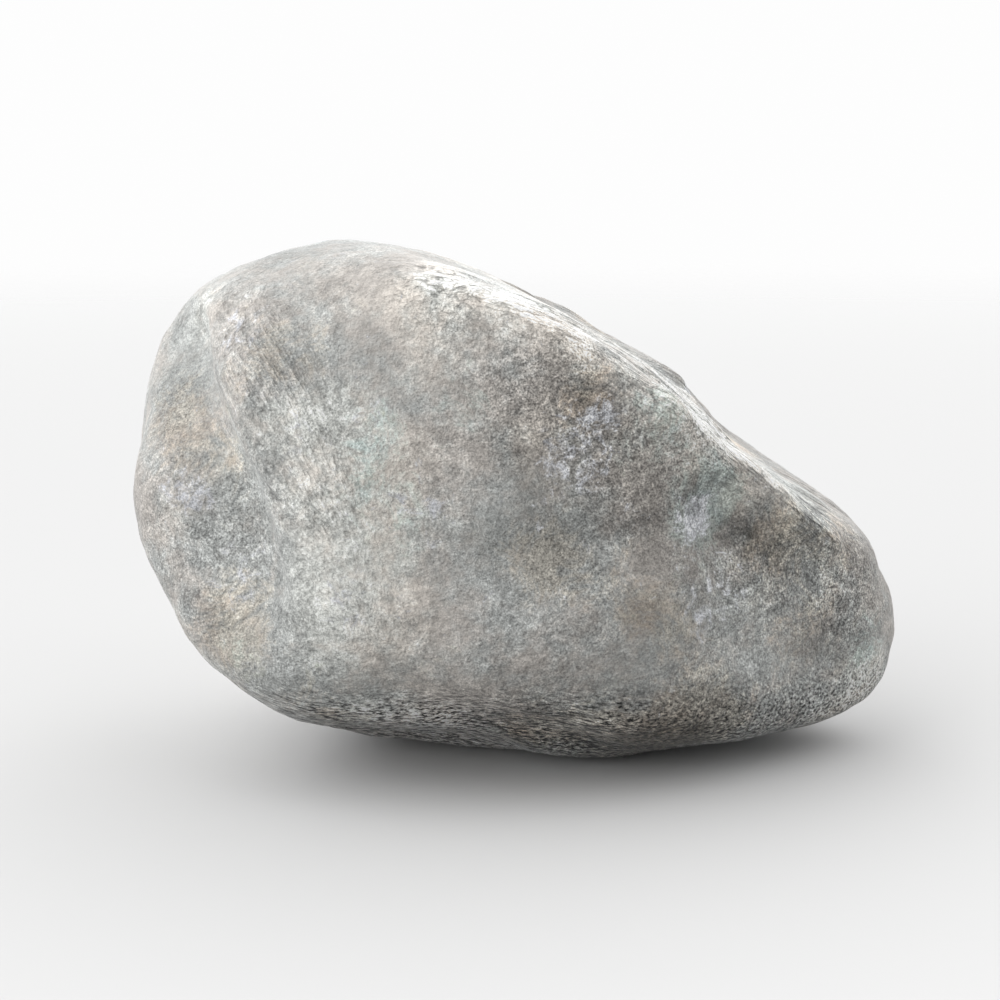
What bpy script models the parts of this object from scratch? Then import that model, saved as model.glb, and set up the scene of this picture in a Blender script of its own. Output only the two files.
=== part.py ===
"""River pebble: one water-worn stone with a blunt high end, a long slope down to a narrow nose, and a
small flat worn under it, on which it lies.

Modelled in metres, +Z up. X runs from the blunt end to the nose, Y to the back, and the origin is on the
ground under the middle of the stone.
"""

import math

import bmesh
import bpy
from mathutils import Vector, geometry, noise

MM = 0.001

# Driving dimensions, in millimetres. The core is the point inside the stone that its worn faces are
# measured from.
HALF_LENGTH = 38.3
HALF_DEPTH = 27.0
HALF_HEIGHT = 26.0
CORE_HEIGHT = 24.5
CELLS = 27  # squares along each side of the cube that the surface is spread from
ROUNDING = 13.0  # how tightly the water has rounded one worn face into the next

# Each worn face: the heading of its normal (0 to the nose, 90 back, 180 to the blunt end, 270 front), its
# pitch above the level, and its distance from the core.
WORN_FACES = {
    "crest": (5, 67, 18.3),
    "long_slope": (0, 51, 20.1),
    "shoulder": (-4, 45, 22.4),
    "nose": (0, 8, 39.8),
    "nose_under": (-5, -28, 46.8),
    "belly_right": (0, -78, 28.9),
    "belly": (0, -90, 27.4),
    "belly_slant": (180, -84, 26.8),
    "belly_corner": (232, -74, 27.7),
    "belly_left": (180, -60, 28.1),
    "heel": (180, -32, 28.9),
    "butt": (180, 2, 42.0),
    "butt_top": (180, 17, 34.8),
    "left_shoulder": (180, 55, 34.4),
    "top": (180, 80, 26.5),
    "front_left": (218, -2, 33.0),
    "front": (268, 4, 25.5),
    "front_right": (306, -2, 28.0),
    "front_brow": (250, 38, 31.0),
    "front_under": (272, -50, 27.5),
    "back": (95, 4, 26.2),
    "back_left": (127, 6, 30.2),
    "back_right": (46, -4, 29.4),
    "back_top": (84, 47, 25.0),
    "back_under": (100, -48, 26.6),
    "back_corner": (156, 2, 37.5),
    "back_shoulder": (146, 44, 32.0),
    "back_heel": (150, -40, 32.0),
}

# Each landform: its rise above the worn faces (below them if negative), its half width, and the places
# that it runs through, as x, y and height above the ground. The places are carried out to the surface.
LANDFORMS = {
    "left_lobe": (2.2, 11.0, [(-29.5, -17, 25), (-28, -18.5, 17)]),
    "left_swell": (0.4, 7.0, [(-34, -15, 22)]),
    "valley": (-2.2, 5.5, [(-28, -14, 40), (-24, -19.5, 33), (-22, -21.5, 28), (-21, -23, 17)]),
    "flank_crest": (1.4, 8.0, [(-19, -22, 36), (-15, -24.5, 27.5), (-13, -25.5, 18)]),
    "lobe_dent": (-0.8, 5.5, [(-26.5, -19, 21.5)]),
    "front_hollow": (-1.2, 13.0, [(11, -25, 30), (17, -22, 26)]),
    "nose_dent": (-0.9, 6.0, [(21.5, -19, 23)]),
    "belly_crease": (-1.0, 4.5, [(-8, -24, 9), (0, -21, 6), (8, -18, 4)]),
    "belly_hollow": (-0.8, 7.0, [(-7, -11.5, 1.5), (1, -10.5, 1)]),
    "nose_hollow": (-0.6, 7.0, [(18, -11, 1), (25, -9, 2)]),
    "left_undercut": (-1.4, 8.0, [(-10.5, -14.5, 3.5), (-3, -15, 2.8)]),
    "left_keel": (0.7, 8.0, [(-19, -4, 3), (-15, -4, 2)]),
    "right_keel": (1.2, 7.0, [(12, -20, 7), (17, -19, 7), (23, -15.5, 7)]),
    "heel_dip": (-1.0, 8.0, [(-31, -14, 13), (-31, 8, 13)]),
    "brow_swell": (0.4, 8.0, [(-2, -8, 47), (-1, 10, 47)]),
    "crest_dip": (-0.9, 7.5, [(13, -8, 38), (13, 10, 38)]),
    "slope_dip": (-1.6, 10.0, [(24.5, -8, 30), (24.5, 12, 30)]),
    "shoulder_swell": (1.3, 6.5, [(34, -6, 20.5), (34, 5, 20.5)]),
    "slope_groove": (-0.9, 4.5, [(4, 0, 45), (12, 0, 38), (18, -2, 33)]),
    "slope_rib": (0.6, 3.5, [(7, 8, 42), (13, 7.5, 38), (18, 6, 34)]),
    "nose_nick": (-0.8, 2.4, [(36, -3, 18)]),
    "back_hollow": (-1.1, 14.0, [(-4, 26, 27), (4, 26, 22)]),
    "back_ridge": (0.8, 7.0, [(-22, 22, 40), (-2, 26, 30), (20, 18, 14)]),
}

# The uneven surface that is left between the landforms: the size of each swell and how far it stands.
SWELLS = [(15.0, 0.35), (6.0, 0.16)]


def facing(heading, pitch):
    """Unit vector that points along a heading and a pitch, in degrees."""
    turn, rise = math.radians(heading), math.radians(pitch)
    return Vector((math.cos(turn) * math.cos(rise), math.sin(turn) * math.cos(rise), math.sin(rise)))


FACES = [(facing(heading, pitch), distance) for heading, pitch, distance in WORN_FACES.values()]


def reach(direction):
    """Distance from the core to the worn faces, rounded into each other, along a unit vector."""
    pressed = 0.0
    for normal, distance in FACES:
        share = direction.dot(normal) / distance
        if share > 0:
            pressed += share**ROUNDING
    return pressed ** (-1 / ROUNDING)


def on_surface(place):
    """The place, given over the ground, carried out from the core to the worn faces."""
    direction = (Vector(place) - Vector((0, 0, CORE_HEIGHT))).normalized()
    return direction * reach(direction)


ROUTES = [
    (rise, half_width, [on_surface(place) for place in places])
    for rise, half_width, places in LANDFORMS.values()
]


def distance_to_route(point, route):
    """Distance from the point to the nearest stretch of the route."""
    nearest = min((point - place).length for place in route)
    for start, end in zip(route, route[1:]):
        foot, share = geometry.intersect_point_line(point, start, end)
        if 0 < share < 1:
            nearest = min(nearest, (point - foot).length)
    return nearest


def relief(point):
    """How far the landforms and the swells stand above the worn faces at a point on them."""
    height = 0.0
    for rise, half_width, route in ROUTES:
        away = distance_to_route(point, route) / half_width
        if away < 1:
            height += rise * (1 - away**2) ** 2
    for size, stand in SWELLS:
        height += stand * noise.noise(point / size)
    return height


def stone_mesh():
    """A cube's squares spread over the worn faces, raised by the relief and cut flat at the ground."""
    bm = bmesh.new()
    bmesh.ops.create_cube(bm, size=2)
    bmesh.ops.subdivide_edges(bm, edges=bm.edges[:], cuts=CELLS - 1, use_grid_fill=True)
    for v in bm.verts:
        even = Vector([math.tan(side * math.pi / 4) for side in v.co]).normalized()
        direction = (even * Vector((HALF_LENGTH, HALF_DEPTH, HALF_HEIGHT))).normalized()
        surface = direction * reach(direction)
        v.co = (surface + direction * relief(surface) + Vector((0, 0, CORE_HEIGHT))) * MM
    everything = bm.verts[:] + bm.edges[:] + bm.faces[:]
    bmesh.ops.bisect_plane(bm, geom=everything, plane_co=(0, 0, 0), plane_no=(0, 0, -1), clear_outer=True)
    bmesh.ops.holes_fill(bm, edges=[edge for edge in bm.edges if edge.is_boundary])
    across = [v.co.x for v in bm.verts]
    deep = [v.co.y for v in bm.verts]
    middle = Vector((min(across) + max(across), min(deep) + max(deep), 0)) / 2
    bmesh.ops.translate(bm, verts=bm.verts[:], vec=-middle)
    bmesh.ops.recalc_face_normals(bm, faces=bm.faces[:])
    mesh = bpy.data.meshes.new("pebble")
    bm.to_mesh(mesh)
    bm.free()
    mesh.shade_smooth()
    return mesh


def stone_material():
    material = bpy.data.materials.new("grey_stone")
    material.use_nodes = True
    surface = material.node_tree.nodes["Principled BSDF"]
    surface.inputs["Base Color"].default_value = (0.36, 0.355, 0.34, 1)
    surface.inputs["Roughness"].default_value = 0.75
    surface.inputs["Metallic"].default_value = 0
    return material


for old in list(bpy.data.objects):
    bpy.data.objects.remove(old)

stone = bpy.data.objects.new("pebble", stone_mesh())
stone.data.materials.append(stone_material())
collection = bpy.data.collections.new("river_pebble")
bpy.context.scene.collection.children.link(collection)
collection.objects.link(stone)
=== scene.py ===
"""The river pebble's looks: its worn, grainy, mottled skin, on a plain pale floor in soft studio light.

Metres, +Z up. X runs from the stone's blunt end to its nose, Y to its back, and it lies on the ground at
z = 0. Places and sizes on the stone are named in millimetres.
"""

import math
import random

import bmesh
import bpy
import numpy
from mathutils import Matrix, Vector, geometry, noise
from mathutils.bvhtree import BVHTree


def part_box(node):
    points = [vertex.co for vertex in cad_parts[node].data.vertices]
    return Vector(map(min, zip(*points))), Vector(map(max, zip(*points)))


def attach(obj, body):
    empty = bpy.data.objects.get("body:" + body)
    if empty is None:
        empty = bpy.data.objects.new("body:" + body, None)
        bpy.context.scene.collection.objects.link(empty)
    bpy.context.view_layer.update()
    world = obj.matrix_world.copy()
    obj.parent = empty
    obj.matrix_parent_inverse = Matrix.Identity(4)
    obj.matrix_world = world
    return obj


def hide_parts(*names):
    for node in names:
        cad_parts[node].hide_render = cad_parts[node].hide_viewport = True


MM = 0.001

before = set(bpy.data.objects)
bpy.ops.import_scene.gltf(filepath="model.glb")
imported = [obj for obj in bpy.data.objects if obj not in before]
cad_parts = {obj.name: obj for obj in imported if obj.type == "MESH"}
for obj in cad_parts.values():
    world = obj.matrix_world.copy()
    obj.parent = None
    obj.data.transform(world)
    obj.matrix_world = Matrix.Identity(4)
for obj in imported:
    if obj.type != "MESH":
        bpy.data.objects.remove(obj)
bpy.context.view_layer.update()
stone_low, stone_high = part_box("pebble")
stone_middle = (stone_low + stone_high) / 2
stone_half = (stone_high - stone_low) / 2


# ---- Blotches: soft-edged places where the stone differs, or where shade and highlight are painted ----

# Pale, tan, moss, deep and soot blotches tint the stone, chalk is a crust on it, and a rough one has
# stronger grain. Low on the belly, along the rims and in a hollow towards the nose, the deep and soot
# patches are painted shade, and low along the rims, pale ones are painted highlight. In flank_flow and
# slope_flow, the bedding shows as ridges and streaks, and the painted highlight makes the parts of the crest
# and long slope that face the light nearly white. Each patch: x, y and height above the ground, how far it
# reaches, and how strong it is. A minus takes away.
BLOTCHES = {
    # Lighter stone; the low ones along the rims, at the nose and the blunt end, are painted highlight.
    "pale": [
        (-14, -26, 18, 9, 1.1), (-13.5, -26.5, 18, 4, 0.9), (-14, -26, 24, 8, 0.8),
        (-15.5, -25, 33.5, 6, 0.8), (-10.5, -25.5, 30, 6, 0.7), (-20.5, -23.5, 33, 5, 0.7),
        (-18, -25, 28, 5, 0.5), (-6, -22, 43, 7, 0.5), (-8, -24, 38, 5, 0.2), (-6.5, -26, 25, 4, 0.4),
        (-25.5, -22.5, 17.5, 4.5, 0.6), (-25, -22, 29, 4, 0.2), (-29.5, -20, 26, 4, 0.6),
        (-28.5, -14, 42, 5, 0.5), (-31, -17, 13, 6, 0.7), (-27, -19, 10, 5, 0.6), (-14, -24, 9, 5, 0.3),
        (-8, -20, 7, 4, 0.5), (32, -7, 7, 6, 1.1), (0, -22, 42.5, 5, 0.8), (4, -23, 40, 4, 0.8),
        (9, -22.5, 37, 3.5, 0.6), (13.5, -21, 33.5, 3.5, 0.8), (18, -17.5, 30, 4, 0.8),
        (23, -14.5, 26, 4, 0.6), (11, -22.5, 32, 4, 0.4), (14.7, -18, 33, 3.5, 0.9),
        (15, -20, 29.5, 3, 0.8), (19, -18.5, 25.5, 3, 0.6), (3.5, -20.5, 42, 4, 0.8),
        (-9.5, -21.5, 43.5, 5, 0.6), (-8, -23.5, 38.5, 4, 0.3), (5.5, -23.3, 37, 3, 0.9),
        (2, -24.3, 33.5, 3.5, 0.6), (19.5, -17.5, 26, 3, 0.9), (28, -11.8, 19.5, 4, 0.7),
        (21.8, -16.2, 17, 4, 0.6), (28, -9, 3.5, 4, 0.9), (-14, -21.5, 7.5, 3.5, 0.7),
        (-25.5, -20.5, 29.5, 4, 0.4), (-17, -20, 43, 6, 0.3), (12.2, -21.5, 34.6, 3, 0.6),
        (14.9, -20.2, 26, 3, 0.4), (14.6, -18.5, 34, 3, 0.6), (28.8, -11.5, 12.5, 3, 0.4),
        (0.5, -24.8, 31.5, 3, 0.4), (9, -22.7, 32.5, 3, 0.4), (-9.5, -23.2, 11, 4, 0.3),
        (-29.5, -17, 14, 5, 0.3), (23.7, -14.4, 22.8, 3, 0.6),
    ],
    "chalk": [
        (-24.4, -19.2, 41.3, 5, 0.6), (-29.2, -20.5, 26.8, 4, 0.9), (-24.4, -22.5, 19.1, 5, 0.4),
        (-17.9, -24.9, 32.3, 4, 0.5), (-13.8, -26.3, 18.6, 6, 0.4), (4.5, -24.3, 30.5, 6, 0.6),
        (15.3, -19.9, 24.5, 4.5, 0.7), (15.5, -20.7, 17.4, 6, 0.5), (-13.4, -24.4, 33.9, 4, 0.4),
        (-8.8, -25.4, 26.5, 5, 0.4), (9, -24, 25, 4, 0.4), (20, -18, 18, 5, 0.35),
        (6.6, -23.8, 34.3, 3, 0.7), (15.3, -20, 24.8, 3.5, 0.5),
    ],
    "tan": [
        (-30.1, -16.8, 33.5, 7, 0.9), (-26.5, -20, 29, 6, 0.7), (-20.6, -22.3, 39.2, 7, 0.7),
        (5.5, -24.1, 35.5, 5, 1.1), (1.5, -25, 22.5, 6, 0.9), (22.5, -15, 22, 6, 1.0),
        (26, -14, 14, 9, 0.6), (13, -22, 15, 7, 0.7), (-25, -22.5, 15.5, 7, 1.0), (7, -24, 20, 8, 0.5),
        (2, -20, 5, 7, 1.2), (9, -20, 5, 8, 1.2), (16, -19, 6, 8, 1.4), (-17, -23, 8, 6, 0.6),
        (29, -10, 22, 6, 0.6),
    ],
    "moss": [
        (-11, -25.5, 29, 7, 0.7), (-13.4, -24.4, 33.9, 5, 0.4), (11, -22.5, 33, 6, 0.8),
        (15.5, -20, 26.5, 6, 1.2), (14, -20.5, 22, 5, 0.5), (18, -18, 25.5, 5, 0.7),
        (-5, -25, 35, 5, 0.5), (-7.5, -26, 24, 5, 0.4), (-24, -22.8, 13.1, 5, 0.3), (33, -8, 11, 5, 0.6),
        (5, -19, 40, 5, 0.5),
    ],
    # Darker stone, and painted shade: the low ones on the belly and those along the top and left rims.
    "deep_and_shade": [
        (2.5, -24.5, 28, 7, 0.8), (5, -23.5, 34.5, 4.5, 1.0), (7, -24, 28.5, 7, 0.9),
        (11, -22.5, 25.5, 6, 0.8), (3, -25, 23, 7, 0.5), (24, -13, 23, 11, 0.9), (30, -9, 22, 6, 0.4),
        (29, -10, 13, 7, 0.4), (14, -21, 16, 9, 0.3), (-31, -15, 35, 7, 0.6), (-24, -20, 37, 4, 0.4),
        (-34, -12, 24, 7, 0.3), (-20, -10, 47, 9, 0.8), (-22.5, -23, 25, 4, 0.5),
        (-18.5, -23, 37.5, 4, 0.5), (-10.5, -25, 36, 4, 0.3), (0.5, -23.5, 9, 4, 0.6),
        (7.5, -23.5, 10, 5, 0.5), (24, -14, 6, 5, 0.9), (-3, -25.5, 24, 4, 0.6), (-10, -26, 23, 4, 0.5),
        (-1, -24.5, 32.5, 4, 0.6), (10, -23.5, 17, 4, 0.6), (27.5, -8, 24, 4, 0.9),
        (20, -17.5, 21, 6, 0.7), (16, -20, 20, 5, 0.5), (27, -12.5, 12, 5, 0.5), (-35, -13, 24, 5, 0.5),
        (-31, -18, 19, 4, 0.5), (-8, -23.5, 41, 4, 0.3), (19, -16, 4.5, 5, 0.9), (-1, -19, 5, 5, 0.9),
        (2, -19, 5, 8, 1.2), (9, -20, 5, 9, 1.4), (16, -18, 5, 8, 1.4), (-16, -20.5, 5.5, 5, 1.3),
        (6, -23.6, 33.5, 3, 0.9), (7.5, -23.5, 30.8, 3, 0.8), (2.5, -24.7, 30, 3, 0.5),
        (20.7, -16.5, 22.5, 4, 0.7), (30.5, -9.5, 10.5, 4, 0.7), (1.5, -24, 36, 3, 0.5),
        (7.2, -23.6, 31, 3, 0.6), (2.4, -24.6, 30, 4, 0.5),
    ],
    # Dark marks, and painted shade: the low ones are the contact shadow under the belly, and the small ones
    # towards the nose darken a hollow.
    "soot_and_shade": [
        (26, -12, 24, 5, 0.3), (7.2, -23.6, 30.5, 3, 0.9), (2, -25, 29, 3.5, 0.7),
        (11, -22.5, 25.8, 3.5, 0.7), (-3, -25.5, 22.5, 4, 0.6), (-20, -22, 40, 6, 0.3),
        (12, -18, 3.5, 6, 1.3), (13, -19.5, 5.5, 5, 1.2), (16, -17, 4, 5, 1.0), (10, -15, 2, 7, 1.3),
        (4, -14, 2, 6, 1.0), (-2, -15, 3, 5, 0.8), (-16, -20, 5, 5, 0.9), (1, -19, 5.5, 5, 0.8),
        (7, -19, 4, 6, 0.8), (10, 2, 38, 3, 0.9), (14, 0, 35.5, 3, 1.0), (7, -12, 41.5, 2.5, 0.5),
        (24.5, -9, 27, 4, 0.7), (27.5, -7, 24.5, 4, 1.0), (28, -10, 22.5, 3, 0.6), (0, -17, 3.5, 4, 0.8),
        (11, -12, 1, 6, 1.3), (-17, -9.5, 3, 5, 1.0), (10, -17, 3.6, 4, 0.9), (14, -17.3, 3.9, 4, 0.5),
        (20.5, -16.8, 22.5, 2.5, 1.4), (18.3, -18.2, 23.5, 2.5, 1.0), (22.3, -15.5, 21, 2.2, 1.1),
        (19.5, -17.3, 20.5, 2, 0.9), (17, -19, 22.5, 2, 0.7),
    ],
    "rough": [
        (4, -24, 35, 9, 1.3), (12, -22, 29, 10, 1.2), (-27, -21, 22, 9, 0.6), (28, -12, 18, 12, 1.1),
        (18, -19, 16, 10, 0.6), (6, -24, 22, 9, 0.4), (-14, -26, 22, 10, -0.4), (-12, -20, 43, 12, -0.4),
        (-24, -18, 43, 9, -0.3), (-30, -18, 32, 7, 0.3), (0, -20, 6, 10, 0.9), (14, -19, 6, 10, 0.9),
        (21, -16.5, 21, 7, 0.9), (30, -10, 15, 9, 0.7), (6, -20, 41, 6, 0.6), (14, -17, 35.5, 6, 0.7),
        (22, -13, 28, 6, 0.7),
    ],
    "flank_flow": [
        (-21, -22, 36, 8, 1.2), (-17, -25, 28, 8, 1.2), (-24, -18, 41, 7, 0.9), (-26, -20, 33, 6, 0.6),
        (-13, -26, 19, 8, 0.7),
    ],
    "slope_flow": [
        (-6, -20, 45, 8, 1.0), (3, -20, 42, 8, 1.2), (11, -19, 37, 8, 1.2), (18, -16, 31.5, 8, 1.2),
        (26, -11, 25, 8, 1.2), (6, 0, 42, 13, 0.9), (16, 2, 36, 13, 0.9), (28, 0, 26, 9, 0.9),
        (8, 13, 41, 11, 0.8), (20, 13, 32, 11, 0.8),
    ],
    # Painted highlight: where these lie, the parts that face the light turn nearly white.
    "painted_highlight": [
        (-4, -18, 45, 8, 0.9), (3, -18, 42.5, 8, 1.1), (10, -16, 38.5, 8, 1.1), (16, -14, 34, 8, 1.2),
        (22, -12, 29, 8, 1.0), (27, -9, 24.5, 7, 0.6), (3, -8, 43.5, 9, 0.5), (13, -4, 38, 9, 0.45),
        (21, -2, 32.5, 8, 0.5),
    ],
}

# The other sides keep the same blotches, strewn about: of each kind, how many there are, how far they
# reach and how strong they are.
STREWN = {
    "pale": (10, 7, 0.6), "chalk": (26, 5, 0.6), "tan": (18, 7, 0.9), "moss": (12, 6, 0.8),
    "deep_and_shade": (20, 9, 0.9), "soot_and_shade": (18, 4.5, 0.8), "rough": (12, 10, 0.7),
}
STREWING = 12  # the draw that the strewn blotches come from
STREWN_RANGE = (0.6, 1.3)  # each one's reach and strength, as shares of its kind's, lie between these
FRONT_EDGE = -0.15  # where the way out from the stone's middle has a Y under this, none is strewn
BELLY_TOP = 11.0  # height under which the belly's streaks and painted shade show, more and more downwards
BELLY_FADE = (8.0, 22.0)  # the stretch along the stone that they fade over, towards the nose
BELLY_LEAST = 0.6  # the share of them that stays at the nose
HIGHLIGHT_WAY = Vector((0.5, 0.1, 0.86)).normalized()  # the way faced by the parts given a painted highlight


def strength(patches, places):
    """How strongly a kind's patches show at each place."""
    shown = numpy.zeros(len(places))
    for x, y, height, reach, most in patches:
        away = numpy.linalg.norm(places - (x, y, height), axis=1) / reach
        shown += most * numpy.clip(1 - away**2, 0, None) ** 2
    return shown


def belly_flow(places):
    """How strongly the belly's streaks show at each place, and how much painted shade darkens it there."""
    start, end = BELLY_FADE
    fading = numpy.clip((end - places[:, 0]) / (end - start), BELLY_LEAST, 1)
    return numpy.clip(1 - places[:, 2] / BELLY_TOP, 0, 1) * fading


def strewn_patches(form):
    """Patches of every kind on the back, the top and the ends, at places drawn by lot."""
    lot = random.Random(STREWING)
    patches = {kind: [] for kind in STREWN}
    for kind, (count, reach, most) in STREWN.items():
        while len(patches[kind]) < count:
            way = Vector((lot.gauss(0, 1), lot.gauss(0, 1), lot.gauss(0, 1))).normalized()
            if way.y > FRONT_EDGE:
                place = form.ray_cast(stone_middle, way)[0] / MM
                sizes = (reach * lot.uniform(*STREWN_RANGE), most * lot.uniform(*STREWN_RANGE))
                patches[kind].append((*place, *sizes))
    return patches


# ---- The skin: a fine net of squares laid on the worn form ----

CELLS = 128  # squares along each side of the cube that the skin is spread from
SOFTENING = 22  # rounds of smoothing, which take the solid's facets out of the skin
SOFTENED = 0.5  # how far each round carries a point to the middle of its neighbours
MERGED_WITHIN = 0.01  # the solid's loose corners that lie closer than this are one

# The fine unevenness that water and frost have left: the size of each wave and how far it stands.
WAVES = [(4.2, 0.16), (2.3, 0.10), (1.3, 0.06)]

# The stone's bedding shows as fine ridges, and on the belly only as streaks: the ways that they run, the
# ridges' length and width, and how far they stand.
FLANK_WAY = Vector((13, -11, -19)).normalized()
SLOPE_WAY = Vector((38, 11, -24.5)).normalized()
BELLY_WAY = Vector((1, -0.2, -0.35)).normalized()
RIDGE_LENGTH = 9.0
RIDGE_WIDTH = 1.5
FLANK_RIDGES = 0.10
SLOPE_RIDGES = 0.35
MEAN_RISE = -0.1  # lowers all of it a little, which keeps its crests close to the solid

# Sharper edges and creases than the solid's: how far each stands, its half width and the places that it
# runs through.
CREASES = [
    (0.9, 3.4, [(-4, -22.5, 43), (1, -23.5, 41), (5, -24, 38.5), (8, -23.5, 36.5), (12, -22, 34)]),
    (0.9, 3.0, [(12, -22, 34), (15, -20, 31.5), (19, -17, 28.5), (23, -14.5, 25.5), (28, -11.5, 21.5)]),
    (-0.9, 3.0, [(-28, -14, 40), (-24, -19.5, 33), (-22, -21.5, 28), (-20.5, -23.5, 20)]),
    (0.45, 3.5, [(-22, -17, 42), (-17.5, -23, 33), (-16, -25, 26), (-13, -26, 17)]),
    (-0.6, 1.3, [(36, -3.5, 18), (34.5, -6, 17.5)]),
    (0.35, 1.4, [(8, 6, 40.5), (12, 6.5, 38), (16, 6, 34.5)]),
]
ROUTES = [(stand, half_width, [Vector(stop) for stop in route]) for stand, half_width, route in CREASES]


def worn_form():
    """The solid with its loose triangles merged, for lines to be cast onto."""
    bm = bmesh.new()
    bm.from_mesh(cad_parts["pebble"].data)
    bmesh.ops.remove_doubles(bm, verts=bm.verts[:], dist=MERGED_WITHIN * MM)
    form = BVHTree.FromBMesh(bm)
    bm.free()
    return form


def spread_skin(form):
    """A cube's squares, spread evenly and carried out from the stone's middle to the worn form."""
    bm = bmesh.new()
    bmesh.ops.create_cube(bm, size=2)
    bmesh.ops.subdivide_edges(bm, edges=bm.edges[:], cuts=CELLS - 1, use_grid_fill=True)
    for v in bm.verts:
        even = Vector([math.tan(side * math.pi / 4) for side in v.co]).normalized()
        v.co = form.ray_cast(stone_middle, (even * stone_half).normalized())[0]
    for _ in range(SOFTENING):
        bmesh.ops.smooth_vert(
            bm, verts=bm.verts[:], factor=SOFTENED, use_axis_x=True, use_axis_y=True, use_axis_z=True
        )
    bm.normal_update()
    return bm


def along(place, way):
    """The place with its distances drawn out along a way, so that noise read there makes long ridges."""
    length = place.dot(way)
    return (place - way * length) / RIDGE_WIDTH + way * (length / RIDGE_LENGTH)


def from_route(place, route):
    """Distance from a place to the nearest stretch of a route."""
    nearest = min((place - stop).length for stop in route)
    for start, end in zip(route, route[1:]):
        foot, share = geometry.intersect_point_line(place, start, end)
        if 0 < share < 1:
            nearest = min(nearest, (place - foot).length)
    return nearest


def relief(place, flank, slope):
    """How far the fine relief stands at a place, in millimetres."""
    rise = MEAN_RISE + sum(stand * noise.noise(place / size) for size, stand in WAVES)
    for stand, half_width, route in ROUTES:
        away = from_route(place, route) / half_width
        if away < 1:
            rise += stand * (1 - away**2) ** 2
    if flank:
        rise += flank * FLANK_RIDGES * noise.noise(along(place, FLANK_WAY))
    if slope:
        rise += slope * SLOPE_RIDGES * noise.noise(along(place, SLOPE_WAY))
    return rise


def raise_skin(bm, blotches):
    """Moves the skin in and out by its fine relief, and keeps it inside the solid's box."""
    for v, flank, slope in zip(bm.verts, blotches["flank_flow"], blotches["slope_flow"]):
        v.co += v.normal * relief(v.co / MM, flank, slope) * MM
        for axis in range(3):
            v.co[axis] = min(max(v.co[axis], stone_low[axis]), stone_high[axis])


def pebble_skin():
    form = worn_form()
    bm = spread_skin(form)
    strewn = strewn_patches(form)
    places = numpy.array([v.co for v in bm.verts]) / MM
    blotches = {
        kind: strength(patches + strewn.get(kind, []), places) for kind, patches in BLOTCHES.items()
    }
    blotches["belly_flow"] = belly_flow(places)
    raise_skin(bm, blotches)
    bm.normal_update()
    # How much each place faces the way of the painted highlight.
    blotches["facing_light"] = numpy.array([v.normal.dot(HIGHLIGHT_WAY) for v in bm.verts])
    mesh = bpy.data.meshes.new("pebble_skin")
    bm.to_mesh(mesh)
    bm.free()
    for kind, shown in blotches.items():
        mesh.attributes.new(kind, "FLOAT", "POINT").data.foreach_set("value", shown)
    mesh.shade_smooth()
    skin = bpy.data.objects.new("pebble_skin", mesh)
    bpy.context.scene.collection.objects.link(skin)
    return skin


# ---- Shader helpers ----


def add(tree, kind, inputs=None, **settings):
    """Adds a node. Inputs are given by socket name or number, as a value or as another node's output."""
    made = tree.nodes.new(kind)
    for name, value in settings.items():
        setattr(made, name, value)
    for socket, value in (inputs or {}).items():
        if isinstance(value, bpy.types.NodeSocket):
            tree.links.new(value, made.inputs[socket])
        else:
            made.inputs[socket].default_value = value
    return made


def combine(tree, operation, first, second):
    return add(tree, "ShaderNodeMath", {0: first, 1: second}, operation=operation).outputs[0]


def mix(tree, share, first, second, blend="MIX"):
    """Blends two colours. In this node, inputs 6 and 7 and output 2 are the colour ones."""
    inputs = {0: share, 6: first, 7: second}
    return add(tree, "ShaderNodeMix", inputs, data_type="RGBA", blend_type=blend).outputs[2]


def stretch(tree, value, low, high, to_low=0.0, to_high=1.0):
    """A value's range from low to high carried over to another, with eased ends."""
    inputs = {"Value": value, 1: low, 2: high, 3: to_low, 4: to_high}
    return add(tree, "ShaderNodeMapRange", inputs, interpolation_type="SMOOTHSTEP").outputs[0]


def grey(level):
    return (level, level, level, 1)


# ---- The stone's material ----

BASE_TONES = ((0.473, 0.444, 0.413, 1), (0.436, 0.449, 0.438, 1))  # warmer and cooler grey
TONE_SPREAD = (0.80, 1.20)  # over what range of two noises' sum the one grey turns into the other
CHALK = (0.57, 0.58, 0.61, 1)  # a crust's own colour
WHITEST = (0.95, 0.95, 0.95, 1)  # no part of the stone is lighter

# What each kind of blotch, and the fine dark lines of the bedding, multiply the stone's own tone by.
PALE = (1.62, 1.60, 1.56, 1)
TAN = (1.0, 0.925, 0.85, 1)
MOSS = (0.80, 0.91, 0.92, 1)
# Darker tone, and also painted shade under the belly and along the rims.
DEEP_AND_SHADE = (0.68, 0.68, 0.675, 1)
# Dark marks, and also painted shade: the contact shadow under the belly and a shaded hollow.
SOOT_AND_SHADE = (0.42, 0.41, 0.39, 1)
# A painted highlight, on the parts that face the light.
PAINTED_HIGHLIGHT = (1.85, 1.85, 1.85, 1)
LINE = (0.33, 0.33, 0.33, 1)

NOISE_MIDDLE = 0.5

# Clouds and hue turn one grey into the other, patchy makes some places rougher than others, mottle to grit
# darken and lighten the stone, and grain and coarse make its bumps. Each noise: its size in millimetres,
# its detail, its roughness and its distortion.
NOISES = {
    "clouds": (14, 3, 0.5, 0),
    "patchy": (8, 3, 0.7, 0),
    "hue": (4, 3, 0.8, 0),
    "mottle": (5, 4, 0.95, 0.6),
    "crust": (1.6, 4, 0.75, 0.8),
    "strokes": (2.4, 5, 0.9, 2.5),
    "grain": (0.34, 1.5, 0.7, 0),
    "grit": (0.17, 1, 0.7, 0),
    "coarse": (1.1, 3, 0.7, 0),
}

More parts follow.
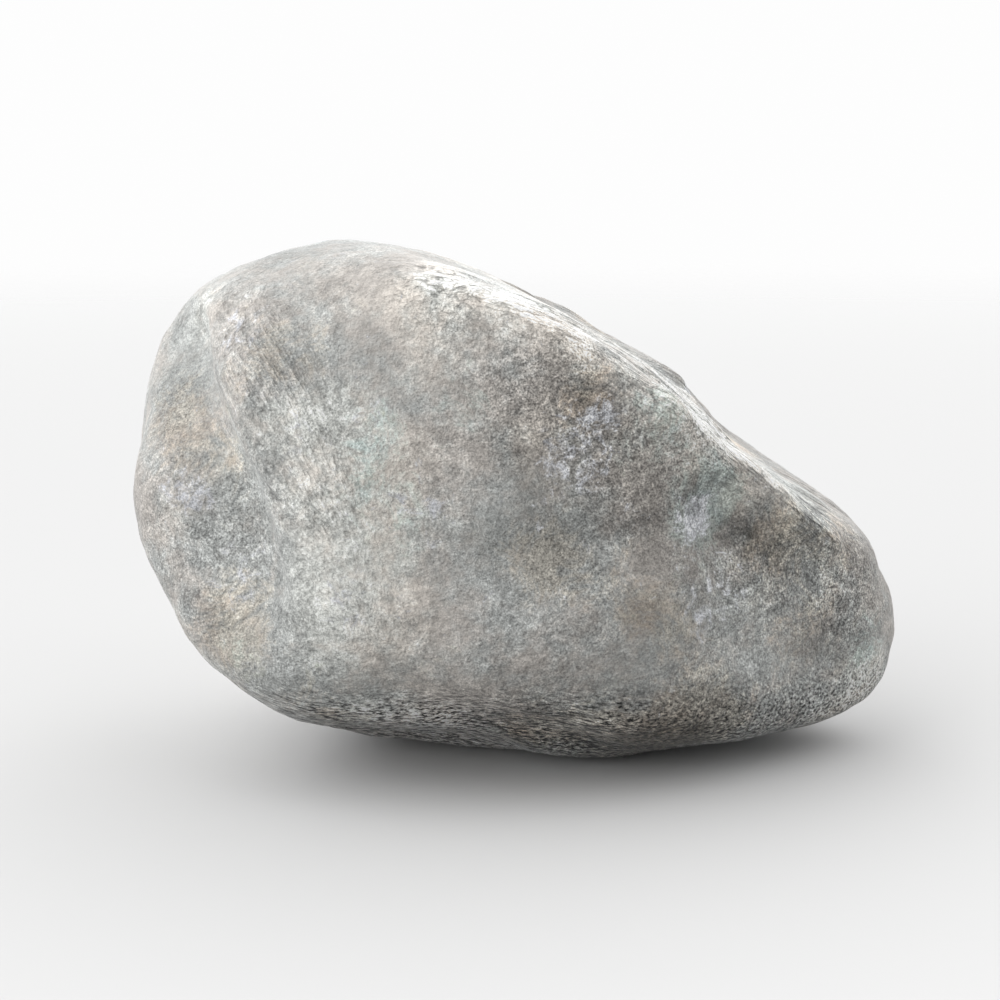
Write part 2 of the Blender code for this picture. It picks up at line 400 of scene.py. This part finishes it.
# The noises that are drawn out into streaks: the way that they run, how many times as long as wide they
# are, and then as above. The layers' are the fine dark lines of the long slope.
STREAKS = {
    "flank": (FLANK_WAY, 6, (0.7, 2, 0.7, 0)),
    "slope": (SLOPE_WAY, 9, (0.6, 2, 0.7, 0)),
    "belly": (BELLY_WAY, 6, (0.28, 2, 0.7, 0)),
    "layers": (SLOPE_WAY, 5, (1.2, 2, 0.6, 0.5)),
}

# How each kind of blotch tints the stone: the noise that breaks its edge, how far it breaks it, and the
# strengths at which the blotch starts to show and shows whole.
TINTS = [
    ("pale", "mottle", 1.0, 0.0, 0.9, PALE),
    # Darker stone, and painted shade where these patches lie low on the belly and along the rims.
    ("deep_and_shade", "mottle", 1.2, 0.0, 0.9, DEEP_AND_SHADE),
    # The belly darker towards the ground: partly its own tone, partly painted shade.
    ("belly_flow", "mottle", 0.0, 0.3, 1.1, DEEP_AND_SHADE),
    ("tan", "mottle", 3.0, 0.25, 1.0, TAN),
    ("moss", "mottle", 3.0, 0.3, 1.0, MOSS),
    # Dark marks, and painted shade: the contact shadow under the belly and a shaded hollow.
    ("soot_and_shade", "crust", 5.0, 0.25, 1.8, SOOT_AND_SHADE),
]
CHALK_EDGE = (3.6, 0.4, 1.1)  # the same three numbers for the crust
FACING_LIGHT_EDGE = (1.0, 0.55, 0.72)  # and for the parts that face the way of the painted highlight
PAINTED_HIGHLIGHT_WHOLE = 0.5  # the strength at which a patch of painted highlight shows whole

# How much each noise darkens and lightens the stone: for each measure of roughness, and everywhere.
SHADES = [
    ("mottle", 1.2, 0.75),
    ("crust", 0.6, 0.4),
    ("strokes", 1.0, 0.6),
    ("grain", 0.9, 0.0),
    ("grit", 1.0, 0.25),
]
FLOW_SHADES = {"flank": 1.6, "slope": 2.0, "belly": 27.0}  # how much streaks do so, where they show
PATCHY_RANGE = (0.35, 0.65)  # the patchy noise's values between which a place turns from smooth to rough
PATCHY_ROUGHNESS = (0.5, 1.1)  # the smooth places' roughness and the rough ones'
LINE_WIDTH = 0.065  # how far from its middle the layers' noise still makes a line
LINE_GAPS = (0.35, 0.55)  # the mottle's values between which a line fades in
GRAIN_RISE = 0.35  # how far the grain stands, as a share of the coarse noise's rise
STREAK_RISE = 2.5  # the same for the streaks
BUMP = 0.30  # how far the coarse noise stands, in millimetres
SURFACE = {"Roughness": 0.65, "Specular IOR Level": 0.3, "Sheen Weight": 0.25, "Sheen Roughness": 0.5}


def fine_noise(tree, place, size, detail, roughness, distortion):
    inputs = {
        "Vector": place, "Scale": 1 / (size * MM), "Detail": detail, "Roughness": roughness,
        "Distortion": distortion,
    }
    return add(tree, "ShaderNodeTexNoise", inputs).outputs["Fac"]


def drawn_out(tree, place, way, times):
    """The place as seen along a way, drawn out along it, so that noise read there makes streaks."""
    turn = way.to_track_quat("X", "Z").to_euler()
    inputs = {"Vector": place, "Rotation": turn, "Scale": (times, 1, 1)}
    return add(tree, "ShaderNodeMapping", inputs, vector_type="TEXTURE").outputs["Vector"]


def shown(tree, kind):
    return add(tree, "ShaderNodeAttribute", attribute_name=kind).outputs["Fac"]


def ragged(tree, kind, edge, unevenness, low, high):
    """Where a kind of blotch shows, with its edge broken up by a noise."""
    broken = combine(tree, "MULTIPLY", combine(tree, "SUBTRACT", edge, NOISE_MIDDLE), unevenness)
    return stretch(tree, combine(tree, "ADD", shown(tree, kind), broken), low, high)


def tint(tree, tone, mask, colour):
    return mix(tree, mask, tone, mix(tree, 1.0, tone, colour, "MULTIPLY"))


def shade(tree, tone, value, contrast):
    """Darkens and lightens a tone by a noise's value around its middle."""
    swing = combine(tree, "MULTIPLY", combine(tree, "SUBTRACT", value, NOISE_MIDDLE), contrast)
    return mix(tree, 1.0, tone, combine(tree, "ADD", swing, 1.0), "MULTIPLY")


def scaled(tree, value, times, more=0.0):
    return combine(tree, "ADD", combine(tree, "MULTIPLY", value, times), more)


def stone_noises(tree):
    """Every noise that the stone's material is made of, by name."""
    place = add(tree, "ShaderNodeTexCoord").outputs["Object"]
    noises = {name: fine_noise(tree, place, *values) for name, values in NOISES.items()}
    for name, (way, times, values) in STREAKS.items():
        noises[name] = fine_noise(tree, drawn_out(tree, place, way, times), *values)
    return noises


def blotched(tree, noises):
    """The stone's own tone with its blotches, its belly darker towards the ground, partly painted shade, and
    a painted highlight on its crest and long slope.
    """
    hues = stretch(tree, combine(tree, "ADD", noises["clouds"], noises["hue"]), *TONE_SPREAD)
    tone = mix(tree, hues, *BASE_TONES)
    for kind, edge, unevenness, low, high, colour in TINTS:
        tone = tint(tree, tone, ragged(tree, kind, noises[edge], unevenness, low, high), colour)
    # The painted highlight: parts that face its way, where its patches lie, turn nearly white.
    facing_light = ragged(tree, "facing_light", noises["slope"], *FACING_LIGHT_EDGE)
    patches = stretch(tree, shown(tree, "painted_highlight"), 0.0, PAINTED_HIGHLIGHT_WHOLE)
    tone = tint(tree, tone, combine(tree, "MULTIPLY", facing_light, patches), PAINTED_HIGHLIGHT)
    return mix(tree, ragged(tree, "chalk", noises["crust"], *CHALK_EDGE), tone, CHALK)


def bedding_lines(tree, noises):
    """Where the bedding shows on the long slope as fine lines: close to the layers' middle value."""
    away = combine(tree, "ABSOLUTE", combine(tree, "SUBTRACT", noises["layers"], NOISE_MIDDLE), 0.0)
    lines = stretch(tree, away, 0.0, LINE_WIDTH, 1.0, 0.0)
    lines = combine(tree, "MULTIPLY", lines, shown(tree, "slope_flow"))
    return combine(tree, "MULTIPLY", lines, stretch(tree, noises["mottle"], *LINE_GAPS))


def grained(tree, noises, tone):
    """The tone with its grain, its streaks and its fine dark lines."""
    patchy = stretch(tree, noises["patchy"], *PATCHY_RANGE, *PATCHY_ROUGHNESS)
    roughness = combine(tree, "ADD", patchy, shown(tree, "rough"))
    for name, by_roughness, everywhere in SHADES:
        tone = shade(tree, tone, noises[name], scaled(tree, roughness, by_roughness, everywhere))
    for name, contrast in FLOW_SHADES.items():
        tone = shade(tree, tone, noises[name], scaled(tree, shown(tree, f"{name}_flow"), contrast))
    return tint(tree, tone, bedding_lines(tree, noises), LINE)


def fine_bumps(tree, noises):
    """The normal of the surface's grain and streaks, which are too fine for the skin's net."""
    height = combine(tree, "ADD", scaled(tree, noises["grain"], GRAIN_RISE), noises["coarse"])
    for name in ("flank", "slope"):
        streaks = combine(tree, "MULTIPLY", noises[name], shown(tree, f"{name}_flow"))
        height = combine(tree, "ADD", height, scaled(tree, streaks, STREAK_RISE))
    bump = add(tree, "ShaderNodeBump", {"Strength": 1.0, "Distance": BUMP * MM, "Height": height})
    return bump.outputs["Normal"]


def stone_material():
    material = bpy.data.materials.new("grey_stone")
    material.use_nodes = True
    tree = material.node_tree
    surface = tree.nodes["Principled BSDF"]
    noises = stone_noises(tree)
    tone = grained(tree, noises, blotched(tree, noises))
    tree.links.new(mix(tree, 1.0, tone, WHITEST, "DARKEN"), surface.inputs["Base Color"])
    tree.links.new(fine_bumps(tree, noises), surface.inputs["Normal"])
    for socket, value in SURFACE.items():
        surface.inputs[socket].default_value = value
    return material


# ---- Floor, light and camera ----

FLOOR_REACH = 1.6  # metres from the middle to the floor's edge
FLOOR_SIDES = 96
FLOOR_TONES = (0.635, 0.59)  # in front of the stone and behind it
FLOOR_TURN = (-0.02, 0.04)  # metres back to where the one tone ends and the other begins
FLOOR_BOUNCE = 0.30  # what the floor gives back to the stone, which keeps its underside dark
FLOOR_WHOLE = 0.02  # metres out to where the floor is whole, past which it fades into the backdrop
FLOOR_GONE = 1.40  # and where nothing of it is left
FLOOR_ROUGHNESS = 0.9
BACKDROP = 0.985  # how white the backdrop looks

# The studio's soft lights: each one's heading (0 to the stone's right, 90 behind it), its height in
# degrees, its spread (the higher, the narrower) and its strength.
SOFT_LIGHTS = {
    "over_left": (180, 70, 20, 1.8),
    "left": (180, 50, 10, 0.7),
    "over_front": (315, 50, 10, 1.0),
    "over_rear": (90, 50, 10, 0.6),
    "over_right": (45, 50, 10, 0.85),
    "right": (0, 20, 6, 1.15),
    "right_rear": (45, 20, 6, 1.6),
    "rear": (90, 20, 6, 1.6),
    "left_rear": (135, 20, 6, 1.6),
    "low_left": (180, 20, 6, 1.5),
    "low_left_front": (225, 20, 6, 2.6),
}


def floor_disc():
    bm = bmesh.new()
    bmesh.ops.create_circle(bm, cap_ends=True, segments=FLOOR_SIDES, radius=FLOOR_REACH)
    mesh = bpy.data.meshes.new("floor")
    bm.to_mesh(mesh)
    bm.free()
    floor = bpy.data.objects.new("floor", mesh)
    bpy.context.scene.collection.objects.link(floor)
    material = bpy.data.materials.new("floor_white")
    material.use_nodes = True
    tree = material.node_tree
    surface = tree.nodes["Principled BSDF"]
    place = add(tree, "ShaderNodeTexCoord").outputs["Object"]
    away = add(tree, "ShaderNodeVectorMath", {0: place}, operation="LENGTH").outputs["Value"]
    tree.links.new(stretch(tree, away, FLOOR_WHOLE, FLOOR_GONE, 1.0, 0.0), surface.inputs["Alpha"])
    seen = add(tree, "ShaderNodeLightPath").outputs["Is Camera Ray"]
    back = add(tree, "ShaderNodeSeparateXYZ", {0: place}).outputs["Y"]
    lit = stretch(tree, back, *FLOOR_TURN, *FLOOR_TONES)
    tree.links.new(mix(tree, seen, grey(FLOOR_BOUNCE), lit), surface.inputs["Base Color"])
    surface.inputs["Roughness"].default_value = FLOOR_ROUGHNESS
    surface.inputs["Specular IOR Level"].default_value = 0
    mesh.materials.append(material)


def facing(heading, height):
    """Unit vector along a heading and a height, in degrees."""
    turn, rise = math.radians(heading), math.radians(height)
    return Vector((math.cos(turn) * math.cos(rise), math.sin(turn) * math.cos(rise), math.sin(rise)))


def studio_world():
    """A backdrop that looks white and gives off the studio's soft lights."""
    world = bpy.data.worlds.new("studio")
    bpy.context.scene.world = world
    world.use_nodes = True
    tree = world.node_tree
    background = tree.nodes["Background"]
    way = add(tree, "ShaderNodeTexCoord").outputs["Generated"]
    light = None
    for heading, height, spread, power in SOFT_LIGHTS.values():
        inputs = {0: way, 1: facing(heading, height)}
        turned = add(tree, "ShaderNodeVectorMath", inputs, operation="DOT_PRODUCT").outputs["Value"]
        lobe = combine(tree, "POWER", combine(tree, "MAXIMUM", turned, 0.0), spread)
        lobe = combine(tree, "MULTIPLY", lobe, power)
        light = lobe if light is None else combine(tree, "ADD", light, lobe)
    seen = add(tree, "ShaderNodeLightPath").outputs["Is Camera Ray"]
    tree.links.new(mix(tree, seen, light, grey(BACKDROP)), background.inputs["Color"])


VIEW_TILT = math.radians(8)  # the camera looks down on the stone by this much
VIEW_DISTANCE = 187.40 * MM
VIEW_AIM = Vector((0, 0, 26.0 * MM))
LENS = 70  # in millimetres, on a sensor of this width
SENSOR_WIDTH = 36
NEAREST = 0.01  # metres from the camera within which nothing is drawn
IMAGE_SIDE = 1000
AIM_IN_IMAGE = (521.69, 469.83)  # the pixel of the image that the camera's aim falls on


def studio_camera():
    camera = bpy.data.cameras.new("camera")
    camera.sensor_width = SENSOR_WIDTH
    camera.lens = LENS
    camera.clip_start = NEAREST
    camera.shift_x = 0.5 - AIM_IN_IMAGE[0] / IMAGE_SIDE
    camera.shift_y = AIM_IN_IMAGE[1] / IMAGE_SIDE - 0.5
    stand = bpy.data.objects.new("camera", camera)
    back = Vector((0, -math.cos(VIEW_TILT), math.sin(VIEW_TILT)))
    stand.location = VIEW_AIM + back * VIEW_DISTANCE
    stand.rotation_euler = (-back).to_track_quat("-Z", "Y").to_euler()
    bpy.context.scene.collection.objects.link(stand)
    bpy.context.scene.camera = stand


skin = pebble_skin()
skin.data.materials.append(stone_material())
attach(skin, "root")
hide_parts("pebble")

floor_disc()
studio_world()
studio_camera()
bpy.context.scene.view_settings.view_transform = "Standard"
